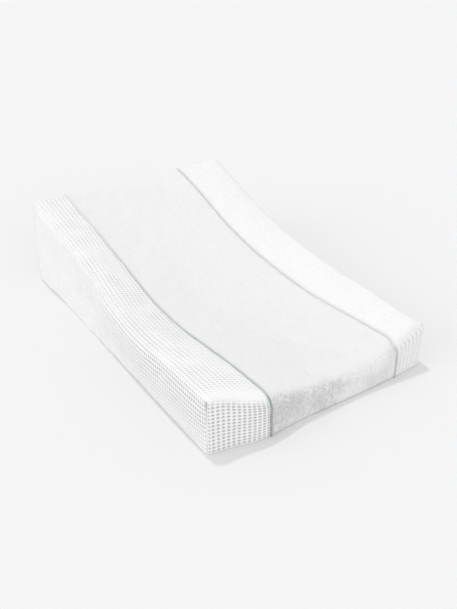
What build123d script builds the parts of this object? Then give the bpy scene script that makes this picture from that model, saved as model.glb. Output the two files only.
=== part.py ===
from build123d import *
import math
import os

# Contoured changing pad: a foam block in a wipeable liner and a zipped, piped fabric cover.
# Millimetres. +Z is up, +Y runs towards the raised head end, the base rests on Z = 0.
# The zip is near the base of the long wall on the +X side.

# Foam body with its cover on
body_width = 460.0
body_length = 710.0
foot_bulge = 10.0  # the foot wall bows out this far between its corners
corner_radius = 18.0  # plan radius of the four upright corners
rim_radius = 12.0  # rounding between the walls and the top
head_y = body_length / 2
foot_corner_y = -body_length / 2 + foot_bulge
seam_x = 140.0  # where the side of the hollow meets its floor
overshoot = 12.0  # the top surface is drawn this far past the body all round, then trimmed
crest_x = body_width / 2 + overshoot
ceiling = 260.0  # above the highest point of the pad

# Top surface, from the head end to the foot: y, then heights at the left edge, left seam line,
# middle, right seam line and right edge
top_stations = [
    (head_y + overshoot, 191.0, 188.0, 177.0, 188.0, 191.0),
    (230.0, 155.0, 151.0, 140.0, 151.0, 155.0),
    (115.0, 127.0, 116.0, 101.0, 116.0, 127.0),
    (5.0, 106.0, 86.0, 69.0, 83.0, 105.0),
    (-105.0, 97.0, 76.0, 54.0, 64.0, 94.0),
    (-225.0, 104.0, 83.0, 53.0, 63.0, 99.0),
    (-head_y - overshoot, 110.0, 86.0, 56.0, 64.0, 104.0),
]

# Layers, from the outside in
cover_thickness = 3.0
base_thickness = 2.0
liner_thickness = 0.6
layer_gap = 0.2

# The terry strip between the two piped seams lies slightly askew on the foam, and the seams
# bow in towards each other where the pad rises to its head end
strip_half_width = 140.0
strip_shift = 3.0
strip_skew = math.tan(math.radians(3.3))
left_bow = 3.0
right_bow = 12.0
bow_y = 130.0
bow_spread = 130.0
bow_points = 9
piping_radius = 2.0
piping_cord_radius = 1.3
flange_thickness = 0.8
piping_clearance = 0.05
tube_x_dir = (1, 0.35, 0)  # turns the edge along each tube away from the seam's plane
piping_lift = 0.4  # the piping's middle stands this far above the cover's outer face
piping_ys = [285.0, 215.0, 145.0, 75.0, 5.0, -65.0, -135.0, -210.0, -285.0]

# Zip, in a slot low in the wall on the +X side
wall_x = body_width / 2
zip_z = 16.0
slot_length = 612.0
slot_height = 16.0
tape_length = 608.0
tape_height = 7.0
tape_thickness = 0.7
tape_outer_x = wall_x - 1.0
blade_slot = 0.7  # half the slot down the middle of the teeth, which the slider's blade uses
tooth_pitch = 3.0
tooth_width = 1.6
tooth_reach = 1.4
tooth_count = 192
spine_height = 0.8
chain_thickness = 1.6
chain_half_height = blade_slot + tooth_reach + spine_height
chain_foot_y = -288.0
stop_length = 3.0

# Slider and its pull
slider_length = 11.0
slider_y = chain_foot_y + slider_length / 2
plate_thickness = 1.2
plate_gap = 0.3
lower_plate_thickness = 0.9
flange_wall = 1.0
slider_half_height = chain_half_height + 0.4 + flange_wall
blade_thickness = 0.7
blade_length = 2.2
bridge_half_length = 4.1
bridge_leg = 1.2
bridge_half_width = 1.1
bridge_rise = 4.0
pull_axis_lift = 1.5  # from the slider's face to the middle of the pull's bar
pull_length = 26.0
pull_half_width = 3.1
pull_thickness = 1.2
pull_bar_radius = 0.7
pull_window_length = 4.9
pull_window_half = 1.6
plate_outer_x = wall_x - 1.0 + chain_thickness + plate_gap + plate_thickness
pull_axis_x = plate_outer_x + pull_axis_lift

section_plane = Plane(origin=(0, 0, 0), x_dir=(1, 0, 0), z_dir=(0, -1, 0))
wall_plane = Plane(origin=(0, 0, zip_z), x_dir=(0, 1, 0), z_dir=(1, 0, 0))


def pad_block(inset, floor):
    """The pad's outer form as a closed solid, drawn in by inset on its top and sides."""
    half = body_width / 2 - inset
    with BuildPart() as block:
        for y, left_edge, left_seam, middle, right_seam, right_edge in top_stations:
            with BuildSketch(section_plane.offset(-y)):
                with BuildLine():
                    Polyline(
                        (-crest_x, left_edge - inset),
                        (-crest_x, floor),
                        (crest_x, floor),
                        (crest_x, right_edge - inset),
                    )
                    Spline(
                        (crest_x, right_edge - inset),
                        (seam_x, right_seam - inset),
                        (0, middle - inset),
                        (-seam_x, left_seam - inset),
                        (-crest_x, left_edge - inset),
                        tangents=((-1, 0), (-1, 0)),
                    )
                make_face()
        loft()
        with BuildSketch(Plane.XY.offset(floor)):
            with BuildLine():
                Polyline(
                    (-half, foot_corner_y + inset),
                    (-half, head_y - inset),
                    (half, head_y - inset),
                    (half, foot_corner_y + inset),
                )
                ThreePointArc(
                    (half, foot_corner_y + inset),
                    (0, foot_corner_y - foot_bulge + inset),
                    (-half, foot_corner_y + inset),
                )
            make_face()
            fillet(vertices(), radius=corner_radius - inset)
        extrude(amount=ceiling, mode=Mode.INTERSECT)
        upright = edges().filter_by(Axis.Z)
        low = edges().filter_by_position(Axis.Z, floor - 0.01, floor + 0.01)
        rim = [edge for edge in edges() if edge not in upright and edge not in low]
        fillet(rim, radius=rim_radius - inset)
    return block.part


outer_form = pad_block(0, base_thickness + layer_gap)


def seam_line_x(side, y):
    """X of a seam at y: side is -1 for the left seam and +1 for the right one."""
    bow = (left_bow if side < 0 else right_bow) * math.exp(-(((y - bow_y) / bow_spread) ** 2))
    return strip_shift + side * (strip_half_width - bow) - strip_skew * y


def foot_wall_y(x):
    """Y of the bowed foot wall at x."""
    half = body_width / 2
    bow_radius = (half**2 + foot_bulge**2) / (2 * foot_bulge)
    return foot_corner_y - foot_bulge + bow_radius - math.sqrt(bow_radius**2 - x**2)


def top_height(x, y):
    """Height of the pad's top above the base at (x, y)."""
    probe = Edge.make_line((x, y, rim_radius), (x, y, ceiling))
    inside = outer_form.intersect(probe)
    return max(vertex.Z for edge in inside.edges() for vertex in edge.vertices())


def seam_foot_y(side):
    """Y where a seam meets the foot wall."""
    y = foot_corner_y
    for _ in range(3):
        y = foot_wall_y(seam_line_x(side, y))
    return y


def piping_route(side):
    """Corner points of a piping's centre line: up the foot wall, along the top, down the head."""
    foot_y = seam_foot_y(side)
    step = rim_radius + 1

    def on_top(y):
        x = seam_line_x(side, y)
        return (x, y, top_height(x, y) + piping_lift)

    def at_rim(y, inward):
        near = on_top(y + inward * step)[2]
        far = on_top(y + inward * 2 * step)[2]
        return (seam_line_x(side, y), y - inward * piping_lift, 2 * near - far)

    low = base_thickness + layer_gap
    foot_rim, head_rim = at_rim(foot_y, 1), at_rim(head_y, -1)
    top = [on_top(y) for y in reversed(piping_ys)]
    foot, head = (*foot_rim[:2], low), (*head_rim[:2], low)
    return [Vector(*p) for p in [foot, foot_rim, *top, head_rim, head]]


def route_radii(route):
    """Rim radius at the two rims, and elsewhere arcs as large as the runs beside them allow."""
    radii = []
    for before, here, after in zip(route, route[1:], route[2:]):
        run = min((here - before).length, (after - here).length)
        turn = math.radians((here - before).get_angle(after - here))
        radii.append(0.45 * run / math.tan(turn / 2))
    radii[0] = radii[-1] = rim_radius
    return radii


def piping_tube(side, radius):
    """A round rod of the given radius along a seam."""
    route = piping_route(side)
    with BuildPart() as tube:
        with BuildLine() as centre_line:
            FilletPolyline(*route, radius=route_radii(route))
        start, along = centre_line.line @ 0, centre_line.line % 0
        with BuildSketch(Plane(origin=start, x_dir=tube_x_dir, z_dir=along)):
            Circle(radius)
        sweep()
    return tube.part


def seam_curve(side, aside):
    """Plan points of a line that runs beside a seam, moved by aside along X."""
    far = head_y + overshoot
    ys = [-far + 2 * far * number / (bow_points - 1) for number in range(bow_points)]
    return [(seam_line_x(side, y) + aside, y) for y in ys]


def plan_zone(low_side, high_side):
    """An upright slab between two lines beside the seams, each given as (side, aside)."""
    with BuildPart() as zone:
        with BuildSketch():
            with BuildLine():
                low = Spline(*seam_curve(*low_side))
                high = Spline(*seam_curve(*high_side))
                Line(low @ 0, high @ 0)
                Line(low @ 1, high @ 1)
            make_face()
        extrude(amount=ceiling)
    return zone.part


left, right = -1, 1
half_flange = flange_thickness / 2
beyond = body_width  # moves a line from a seam to further out than the side wall

cover_form = outer_form - pad_block(cover_thickness, base_thickness / 4)
left_flange = cover_form & plan_zone((left, -half_flange), (left, half_flange))
right_flange = cover_form & plan_zone((right, -half_flange), (right, half_flange))
left_groove = piping_tube(left, piping_radius + piping_clearance)
right_groove = piping_tube(right, piping_radius + piping_clearance)

# Foam core: one contour-cut block
with BuildPart() as foam_core:
    liner_inside = cover_thickness + 2 * layer_gap + liner_thickness
    add(pad_block(liner_inside, base_thickness + 3 * layer_gap + liner_thickness))
foam_core.part.label = "foam_core"

# Wipeable liner: a shell over the foam, and a sheet under it
with BuildPart() as liner_shell:
    add(pad_block(cover_thickness + layer_gap, base_thickness + 2 * layer_gap + liner_thickness))
    add(
        pad_block(cover_thickness + layer_gap + liner_thickness, base_thickness),
        mode=Mode.SUBTRACT,
    )
liner_shell.part.label = "liner_shell"

with BuildPart() as liner_base:
    add(pad_block(cover_thickness + layer_gap, base_thickness + layer_gap))
    with BuildSketch(Plane.XY):
        Rectangle(2 * body_width, 2 * body_length)
    extrude(amount=base_thickness + layer_gap + liner_thickness, mode=Mode.INTERSECT)
liner_base.part.label = "liner_base"

# Terry strip down the middle: top, foot wall and head wall in one length
with BuildPart() as terry_centre_panel:
    add(cover_form)
    add(plan_zone((left, half_flange), (right, -half_flange)), mode=Mode.INTERSECT)
    add(left_groove, mode=Mode.SUBTRACT)
    add(right_groove, mode=Mode.SUBTRACT)
terry_centre_panel.part.label = "terry_centre_panel"

# Waffle side panels: side band, side wall and the ends of the foot and head walls
with BuildPart() as left_side_panel:
    add(cover_form)
    add(plan_zone((left, -beyond), (left, -half_flange)), mode=Mode.INTERSECT)
    add(left_groove, mode=Mode.SUBTRACT)
left_side_panel.part.label = "left_side_panel"

with BuildPart() as right_side_panel:
    add(cover_form)
    add(plan_zone((right, half_flange), (right, beyond)), mode=Mode.INTERSECT)
    add(right_groove, mode=Mode.SUBTRACT)
    with BuildSketch(wall_plane.offset(wall_x)):
        Rectangle(slot_length, slot_height)
    extrude(amount=-2 * cover_thickness, mode=Mode.SUBTRACT)
right_side_panel.part.label = "right_side_panel"

# Base panel: what the pad rests on
with BuildPart() as base_panel:
    add(pad_block(0, 0))
    with BuildSketch(Plane.XY):
        Rectangle(2 * body_width, 2 * body_length)
    extrude(amount=base_thickness, mode=Mode.INTERSECT)
base_panel.part.label = "base_panel"


def piping_sleeve(side):
    """The fabric round a piping cord."""
    with BuildPart() as sleeve:
        add(piping_tube(side, piping_radius))
        add(piping_tube(side, piping_cord_radius), mode=Mode.SUBTRACT)
    return sleeve.part


# Piping: a cord in a fabric sleeve, and the flange of that fabric sewn between the panels
with BuildPart() as left_piping_cord:
    add(piping_tube(left, piping_cord_radius))
left_piping_cord.part.label = "left_piping_cord"

with BuildPart() as right_piping_cord:
    add(piping_tube(right, piping_cord_radius))
right_piping_cord.part.label = "right_piping_cord"

with BuildPart() as left_piping_sleeve:
    add(piping_sleeve(left))
left_piping_sleeve.part.label = "left_piping_sleeve"

with BuildPart() as right_piping_sleeve:
    add(piping_sleeve(right))
right_piping_sleeve.part.label = "right_piping_sleeve"

with BuildPart() as left_piping_flange:
    add(left_flange)
    add(left_groove, mode=Mode.SUBTRACT)
left_piping_flange.part.label = "left_piping_flange"

with BuildPart() as right_piping_flange:
    add(right_flange)
    add(right_groove, mode=Mode.SUBTRACT)
right_piping_flange.part.label = "right_piping_flange"


def zip_tape(up):
    """One woven tape of the zip: up is +1 for the upper one and -1 for the lower one."""
    middle = up * (blade_slot + tape_height / 2)
    with BuildPart() as tape:
        with BuildSketch(wall_plane.offset(tape_outer_x - tape_thickness)):
            with Locations((0, middle)):
                Rectangle(tape_length, tape_height)
        extrude(amount=tape_thickness)
    return tape.part


def zip_teeth(up):
    """A row of teeth on its cord, on the face of its tape."""
    stagger = tooth_pitch / 2 if up > 0 else 0
    first_y = chain_foot_y + tooth_pitch / 2 + stagger
    chain_length = tooth_count * tooth_pitch
    spine_middle = chain_half_height - spine_height / 2
    tooth_middle = up * (blade_slot + tooth_reach / 2)
    places = [(first_y + tooth_pitch * number, tooth_middle) for number in range(tooth_count - 1)]
    with BuildPart() as teeth:
        with BuildSketch(wall_plane.offset(tape_outer_x)):
            with Locations((chain_foot_y + chain_length / 2, up * spine_middle)):
                Rectangle(chain_length, spine_height)
            with Locations(*places):
                Rectangle(tooth_width, tooth_reach)
        extrude(amount=chain_thickness)
    return teeth.part


# Zip tapes, upper and lower
with BuildPart() as zip_upper_tape:
    add(zip_tape(1))
zip_upper_tape.part.label = "zip_upper_tape"

with BuildPart() as zip_lower_tape:
    add(zip_tape(-1))
zip_lower_tape.part.label = "zip_lower_tape"

# Zip teeth, upper and lower, staggered by half a pitch
with BuildPart() as zip_upper_teeth:
    add(zip_teeth(1))
zip_upper_teeth.part.label = "zip_upper_teeth"

with BuildPart() as zip_lower_teeth:
    add(zip_teeth(-1))
zip_lower_teeth.part.label = "zip_lower_teeth"

# Two top stops, one on each tape, where the slider parks when the zip is closed
with BuildPart() as zip_top_stops:
    with BuildSketch(wall_plane.offset(tape_outer_x)):
        stop_middle = (blade_slot + chain_half_height) / 2
        with Locations((chain_foot_y - stop_length / 2 - plate_gap, 0)):
            with GridLocations(0, 2 * stop_middle, 1, 2):
                Rectangle(stop_length, chain_half_height - blade_slot)
    extrude(amount=chain_thickness)
zip_top_stops.part.label = "zip_top_stops"

# Bottom stop, across both tapes at the open end
with BuildPart() as zip_bottom_stop:
    with BuildSketch(wall_plane.offset(tape_outer_x)):
        with Locations((chain_foot_y + tooth_count * tooth_pitch + stop_length / 2 + plate_gap, 0)):
            Rectangle(stop_length, 2 * chain_half_height)
    extrude(amount=chain_thickness)
zip_bottom_stop.part.label = "zip_bottom_stop"

# Slider: face plate with two guide flanges, a lower plate behind the tapes,
# the blade that joins them, and the bridge that holds the pull
face_inner_x = plate_outer_x - plate_thickness
lower_inner_x = tape_outer_x - tape_thickness - plate_gap - lower_plate_thickness
slider_spot = (slider_y, 0)
blade_y = slider_y - slider_length / 2 + blade_length / 2
with BuildPart() as zip_slider:
    with BuildSketch(wall_plane.offset(face_inner_x)):
        with Locations(slider_spot):
            RectangleRounded(slider_length, 2 * slider_half_height, 1.5)
    extrude(amount=plate_thickness)
    with BuildSketch(wall_plane.offset(tape_outer_x + plate_gap)):
        with Locations(slider_spot):
            with GridLocations(0, 2 * slider_half_height - flange_wall, 1, 2):
                Rectangle(slider_length - 3, flange_wall)
    extrude(amount=face_inner_x - tape_outer_x - plate_gap)
    with BuildSketch(wall_plane.offset(lower_inner_x)):
        with Locations(slider_spot):
            RectangleRounded(slider_length, 2 * slider_half_height, 1.5)
    extrude(amount=lower_plate_thickness)
    with BuildSketch(wall_plane.offset(lower_inner_x)):
        with Locations((blade_y + 1, 0)):
            Rectangle(blade_length, blade_thickness)
    extrude(amount=face_inner_x - lower_inner_x)
    with BuildSketch(Plane.XY.offset(zip_z)):
        with Locations((plate_outer_x + bridge_rise / 2, slider_y)):
            Rectangle(bridge_rise, 2 * bridge_half_length)
        with Locations((plate_outer_x + (bridge_rise - bridge_leg) / 2, slider_y)):
            Rectangle(
                bridge_rise - bridge_leg,
                2 * (bridge_half_length - bridge_leg),
                mode=Mode.SUBTRACT,
            )
    extrude(amount=bridge_half_width, both=True)
    fillet(edges().filter_by(Axis.Z).group_by(Axis.X)[-1], radius=bridge_leg)
zip_slider.part.label = "zip_slider"

# Pull tab: a flat plate with a window at one end, whose outer bar lies under the bridge
with BuildPart() as zip_pull:
    with BuildSketch(wall_plane.offset(pull_axis_x - pull_thickness / 2)):
        with Locations((slider_y + pull_length / 2, 0)):
            RectangleRounded(pull_length, 2 * pull_half_width, 1.2)
        with Locations((slider_y + pull_window_length / 2 - pull_bar_radius, 0)):
            Rectangle(
                pull_window_length + 2 * pull_bar_radius,
                2 * pull_window_half,
                mode=Mode.SUBTRACT,
            )
    extrude(amount=pull_thickness)
    with BuildSketch(Plane.XY.offset(zip_z - pull_half_width)):
        with Locations((pull_axis_x, slider_y)):
            Circle(pull_bar_radius)
    extrude(amount=2 * pull_half_width)
zip_pull.part.label = "zip_pull"

os.makedirs("parts", exist_ok=True)
for piece in (
    foam_core,
    liner_shell,
    liner_base,
    terry_centre_panel,
    left_side_panel,
    right_side_panel,
    base_panel,
    left_piping_cord,
    right_piping_cord,
    left_piping_sleeve,
    right_piping_sleeve,
    left_piping_flange,
    right_piping_flange,
    zip_upper_tape,
    zip_lower_tape,
    zip_upper_teeth,
    zip_lower_teeth,
    zip_top_stops,
    zip_bottom_stop,
    zip_slider,
    zip_pull,
):
    export_step(piece.part, f"parts/{piece.part.label}.step")

for side, cord in ((left, left_piping_cord), (right, right_piping_cord)):
    length = cord.part.volume / (math.pi * piping_cord_radius**2)
    radii = ", ".join(f"{radius:.0f}" for radius in route_radii(piping_route(side)))
    print(f"{cord.part.label}: length {length:.0f}, bend radii {radii}")
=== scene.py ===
"""Changing pad: the cover, piping, liner and foam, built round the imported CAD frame.

Metres throughout. X runs across the pad, +Y towards its raised head end, +Z up.
The cover is described on a flat lattice (u, v): u runs across the top and on down the two
long walls, v runs along the top and on down the foot and head walls.
"""
import math

import bmesh
import bpy
import numpy as np
from mathutils import Matrix, Vector


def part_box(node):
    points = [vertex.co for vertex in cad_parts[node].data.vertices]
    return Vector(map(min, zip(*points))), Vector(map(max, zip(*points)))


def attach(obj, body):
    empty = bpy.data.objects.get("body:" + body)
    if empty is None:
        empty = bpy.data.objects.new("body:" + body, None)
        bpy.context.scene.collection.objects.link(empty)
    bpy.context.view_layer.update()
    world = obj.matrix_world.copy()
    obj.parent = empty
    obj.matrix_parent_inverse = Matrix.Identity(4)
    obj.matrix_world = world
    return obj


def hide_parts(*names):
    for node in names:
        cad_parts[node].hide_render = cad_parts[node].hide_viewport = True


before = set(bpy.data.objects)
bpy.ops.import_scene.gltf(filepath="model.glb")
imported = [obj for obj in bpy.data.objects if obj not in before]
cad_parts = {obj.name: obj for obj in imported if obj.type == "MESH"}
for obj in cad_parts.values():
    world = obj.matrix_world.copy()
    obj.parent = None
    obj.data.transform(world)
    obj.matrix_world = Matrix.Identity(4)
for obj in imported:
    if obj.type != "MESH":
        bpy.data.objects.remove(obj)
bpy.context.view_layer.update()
MM = 0.001

# ---- sizes from the frame
WALL_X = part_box("right_side_panel")[1][0]
HEAD_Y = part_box("base_panel")[1][1]
FOOT_BOW = 10 * MM  # the foot wall bows out this far between its corners
FOOT_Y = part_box("base_panel")[0][1] + FOOT_BOW
HEM_Z = 0.4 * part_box("base_panel")[1][2]  # the walls end here, over the base panel's edge
ZIP_Z = 0.5 * (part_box("zip_upper_tape")[1][2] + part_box("zip_lower_tape")[0][2])
SLOT_HALF_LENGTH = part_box("zip_upper_tape")[1][1]

# ---- the pad's form
RIM_R = 12 * MM  # rounding between walls and top
FOOT_RIM_R = 28 * MM  # and at the foot, along the end wall and the right wall
FOOT_RIM_ACROSS = (-218 * MM, -165 * MM)  # the foot's rounding fades out to the left here
FOOT_RIM_ALONG = (30 * MM, 180 * MM)  # and this far from the foot edge
FOOT_BELLY = 10.5 * MM  # the foot wall swells out by this beside the left seam
BELLY_X, BELLY_SPREAD = -128 * MM, 55 * MM
BOW_REACH = 110 * MM  # the foot wall's bow and belly fade out over this much of the top
CORNER_R = 10 * MM  # plan rounding of the upright corners
CORNER_REACH = 100 * MM  # the corner's rounding fades out over this much of the top
# Top surface from foot to head: y, then height at the left crest, left seam line, middle,
# right seam line and right crest, which are this far from the middle line
SEAM_X, CREST_X = 140 * MM, WALL_X + 12 * MM
STATIONS = np.array([
    (-367, 110, 86, 56, 64, 98),
    (-225, 104, 83, 53, 63, 96),
    (-105, 97, 76, 54, 64, 94),
    (5, 106, 86, 69, 83, 105),
    (115, 127, 116, 101, 116, 127),
    (230, 155, 151, 140, 151, 155),
    (367, 191, 188, 177, 188, 191),
]) * MM
# The terry strip lies a little askew, and its two seams bow in near the middle of the pad
STRIP_HALF = 140 * MM
STRIP_SHIFT = 3 * MM
STRIP_SKEW = math.tan(math.radians(3.3))
LEFT_BOW, RIGHT_BOW = 3 * MM, 12 * MM
BOW_Y = 130 * MM
BOW_SPREAD = 130 * MM
WAIST = 9 * MM  # the tops of the long walls lean in by this where the seams bow in
FOOT_FLARE = 7 * MM  # the right wall's top stands out by this at the foot end
HEAD_FLARE = 4 * MM  # the left wall stands out by this at the head end
FLARE_X = 140 * MM  # waist and flares grow from here out to the walls
FOOT_FLARE_Y, HEAD_FLARE_Y = 150 * MM, 220 * MM  # and the flares from this far towards an end


def smooth(x, low, high):
    """0 below low, 1 above high, with a smooth rise between."""
    t = np.clip((x - low) / (high - low), 0, 1)
    return t * t * (3 - 2 * t)


def bell(x, width):
    """1 at zero, falling to 1/e at width to either side."""
    return np.exp(-((x / width) ** 2))


def cubic(t, h, y0, y1, slope0, slope1):
    """A cubic from y0 to y1 over a step h, at a share t of it, with these slopes at its ends."""
    return (
        y0 * (2 * t**3 - 3 * t**2 + 1) + slope0 * h * (t**3 - 2 * t**2 + t)
        + y1 * (3 * t**2 - 2 * t**3) + slope1 * h * (t**3 - t**2)
    )


def curve_through(xs, ys, x):
    """A smooth curve through the points (xs, ys), with xs rising."""
    slope = np.gradient(ys, xs)
    i = np.clip(np.searchsorted(xs, x) - 1, 0, len(xs) - 2)
    h = xs[i + 1] - xs[i]
    return cubic((x - xs[i]) / h, h, ys[i], ys[i + 1], slope[i], slope[i + 1])


def seam_x(side, v):
    """U of the left (-1) or right (+1) piped seam at v."""
    y = np.clip(v, FOOT_Y, HEAD_Y)
    bow = (LEFT_BOW if side < 0 else RIGHT_BOW) * bell(y - BOW_Y, BOW_SPREAD)
    return STRIP_SHIFT + side * (STRIP_HALF - bow) - STRIP_SKEW * y


def top_height(x, y):
    """Height of the pad's top: a hollow with raised sides, rising to the head end."""
    at = [-CREST_X, -SEAM_X, 0.0, SEAM_X, CREST_X]
    height = [curve_through(STATIONS[:, 0], STATIONS[:, k], y) for k in range(1, 6)]
    rise = [(height[k + 1] - height[k]) / (at[k + 1] - at[k]) for k in range(4)]
    # slopes at the three inner knots that make a smooth spline, level at both crests
    h0, h1, h2, h3 = (at[k + 1] - at[k] for k in range(4))
    b1, c1, r1 = 2 * (h0 + h1), h0, 3 * (h1 * rise[0] + h0 * rise[1])
    a2, b2, c2, r2 = h2, 2 * (h1 + h2), h1, 3 * (h2 * rise[1] + h1 * rise[2])
    a3, b3, r3 = h3, 2 * (h2 + h3), 3 * (h3 * rise[2] + h2 * rise[3])
    b2, r2 = b2 - a2 * c1 / b1, r2 - a2 * r1 / b1
    s3 = (r3 - a3 * r2 / b2) / (b3 - a3 * c2 / b2)
    s2 = (r2 - c2 * s3) / b2
    s1 = (r1 - c1 * s2) / b1
    slope = [0 * s1, s1, s2, s3, 0 * s1]
    z = 0 * x
    for k in range(4):
        h = at[k + 1] - at[k]
        t = np.clip((x - at[k]) / h, 0, 1)
        part = cubic(t, h, height[k], height[k + 1], slope[k], slope[k + 1])
        z = np.where((x >= at[k]) & (x <= at[k + 1]), part, z)
    return z


CLOUD_ROWS, CLOUD_COLUMNS = 311, 307  # of random values, which repeat after that many lumps
CLOUD_START = (91.3, 77.7)  # where on that grid the pad's middle falls


def cloud(u, v, size, seed, stretch=1.0):
    """Smooth noise from -1 to 1 over the cloth, in lumps of the given size."""
    grid = np.random.default_rng(seed).uniform(-1, 1, (CLOUD_ROWS, CLOUD_COLUMNS))
    a, b = u / size + CLOUD_START[0], v / (size * stretch) + CLOUD_START[1]
    i, j = np.floor(a).astype(int), np.floor(b).astype(int)
    s, t = a - i, b - j
    s, t = s * s * (3 - 2 * s), t * t * (3 - 2 * t)
    k, m = (i + 1) % CLOUD_ROWS, (j + 1) % CLOUD_COLUMNS
    i, j = i % CLOUD_ROWS, j % CLOUD_COLUMNS
    low = grid[i, j] * (1 - s) + grid[k, j] * s
    high = grid[i, m] * (1 - s) + grid[k, m] * s
    return low * (1 - t) + high * t


def clouds(u, v, layers):
    """A sum of clouds; each layer is a height, then a size, a seed and perhaps a stretch."""
    return sum(height * cloud(u, v, *rest) for height, *rest in layers)


def plan(u, v, inset=0.0, rim=None):
    """Plan position and drop below the top of lattice point (u, v), inset inside the cover."""
    wall_x, foot, head = WALL_X - inset, FOOT_Y + inset, HEAD_Y - inset
    a, b = np.clip(u, -wall_x, wall_x), np.clip(v, foot, head)
    down_x = np.maximum(np.abs(u) - wall_x, 0)
    down_y = np.maximum(np.maximum(foot - v, v - head), 0)
    down = np.maximum(down_x, down_y)
    at_foot = b < 0.5 * (foot + head)
    gap_x, gap_y = wall_x - np.abs(a), np.where(at_foot, b - foot, head - b)
    long_wall = np.where(down > 0, down_x > 0, gap_x < gap_y)
    t = np.where(down > 0, 0, np.minimum(gap_x, gap_y))
    c = np.where(down > 0, np.where(down_x > 0, gap_y, gap_x), np.abs(gap_x - gap_y))
    if rim is None:
        at_rim = smooth(a, *FOOT_RIM_ACROSS) * (1 - smooth(b - FOOT_Y, *FOOT_RIM_ALONG))
        rim = RIM_R + (FOOT_RIM_R - RIM_R) * at_rim
    # half of the rim's arc is on the top and half on the wall
    turn = math.pi / 4 * np.where(down > 0, 1 + down / rim, 1 - t / rim)
    turn = np.clip(turn, 0, math.pi / 2)
    on_rim = (down < rim) & (t < rim)
    near = np.where(on_rim, rim * (1 - np.sin(turn)), np.where(down > 0, 0, t))
    drop = np.where(on_rim, rim * (1 - np.cos(turn)), down)
    # the upright corners
    rho = np.maximum(CORNER_R - near, 0)
    phi = math.pi / 4 * (1 - np.clip(c / np.maximum(rho, 1e-9), 0, 1))
    in_corner = c < rho
    from_near = np.where(in_corner, near + rho * (1 - np.cos(phi)), near)
    along = near + c + (t - near) * smooth(c, CORNER_R, CORNER_R + CORNER_REACH)
    from_other = np.where(in_corner, near + rho * (1 - np.sin(phi)), along)
    x = np.where(a < 0, -1, 1) * (wall_x - np.where(long_wall, from_near, from_other))
    off_y = np.where(long_wall, from_other, from_near)
    y = np.where(at_foot, foot + off_y, head - off_y)
    bow = FOOT_BOW * (1 - (x / WALL_X) ** 2)
    bow = bow + FOOT_BELLY * bell(x - BELLY_X, BELLY_SPREAD)
    return x, y - bow * (1 - smooth(y, FOOT_Y, FOOT_Y + BOW_REACH)), drop


def form(u, v, inset=0.0):
    """Where the lattice point (u, v) lies, inset metres inside the cover's face."""
    x, y, drop = plan(u, v, inset)
    top = top_height(x, y) - inset
    z = top - drop
    lean = WAIST * bell(y - BOW_Y, BOW_SPREAD) * smooth(np.abs(x), FLARE_X, WALL_X)
    to_left = HEAD_FLARE * smooth(y, HEAD_FLARE_Y, HEAD_Y) * smooth(-x, FLARE_X, WALL_X)
    to_right = FOOT_FLARE * smooth(-y, FOOT_FLARE_Y, -FOOT_Y) * smooth(x, FLARE_X, WALL_X)
    to_right = to_right * z / top
    x = x - np.sign(x) * lean * np.clip(z / top, 0, 1) - to_left + to_right
    return np.stack([x, y, z], -1)


def frame_of(u, v, place, step=0.6 * MM):
    """The places of lattice points, and the outward normals there, for a given place(u, v)."""
    on_long, on_short = np.abs(u) > WALL_X, (v < FOOT_Y) | (v > HEAD_Y)
    u1, u2 = u - step, u + step
    v1, v2 = v - step, v + step
    u1, u2 = (np.where(on_short, np.clip(w, -WALL_X, WALL_X), w) for w in (u1, u2))
    v1, v2 = (np.where(on_long, np.clip(w, FOOT_Y, HEAD_Y), w) for w in (v1, v2))
    across, along = place(u2, v) - place(u1, v), place(u, v2) - place(u, v1)
    normal = np.cross(across, along)
    normal /= np.maximum(np.linalg.norm(normal, axis=-1, keepdims=True), 1e-12)
    return place(u, v), normal


# ---- how the cloth lies on the foam
SEAM_DIP, SEAM_WIDTH = 0.8 * MM, 2.8 * MM  # the panels turn in under the piping
DART_DIP, DART_WIDTH = 3.4 * MM, 2.2 * MM  # and at the sewn darts down the four corners
DART_START = 14 * MM  # the darts reach their full depth this far below the rim
HEM_TUCK, TUCK_WIDTH = 0.5 * MM, 1.6 * MM  # and at the bottom, where the base panel is sewn on
RIM_ZONE = (-4 * MM, 12 * MM)  # depths between which the cloth goes from top to wall
# Unevenness of the cloth as layers of clouds, in mm: broad waves all over, upright wrinkles on
# the long walls, which grow towards the head, others on the end walls, puckers along the seams
WAVES = ((0.7, 85 * MM, 1), (0.35, 34 * MM, 2))
WRINKLES = ((1.0, 150 * MM, 3, 0.20), (0.6, 110 * MM, 4, 0.13))
WRINKLES_AT_FOOT, WRINKLES_TO_HEAD = 0.35, 0.9
END_WRINKLES = ((0.5, 45 * MM, 5, 3.0),)
PUCKERS, PUCKER_REACH = ((0.3, 9 * MM, 6),), 12 * MM
BELLY, BELLY_DEPTH = 1.2 * MM, 100 * MM
CREASE_SHARE = 0.7  # how much of the creases is kept on the simulated cloth


def corner_gap(u, v):
    """Distance along a wall from its nearest upright corner; large on the top."""
    side = np.minimum(v - FOOT_Y, HEAD_Y - v)
    end = WALL_X - np.abs(u)
    return np.where(np.abs(u) > WALL_X, side, np.where((v < FOOT_Y) | (v > HEAD_Y), end, 1.0))


def wall_depth(u, v):
    """Distance down a wall from the rim; negative on the top."""
    return np.maximum(np.abs(u) - WALL_X, np.maximum(FOOT_Y - v, v - HEAD_Y))


def seam_gap(u, v):
    """Distance over the cloth from the nearer piped seam."""
    return np.minimum(np.abs(u - seam_x(-1, v)), np.abs(u - seam_x(1, v)))


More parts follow.
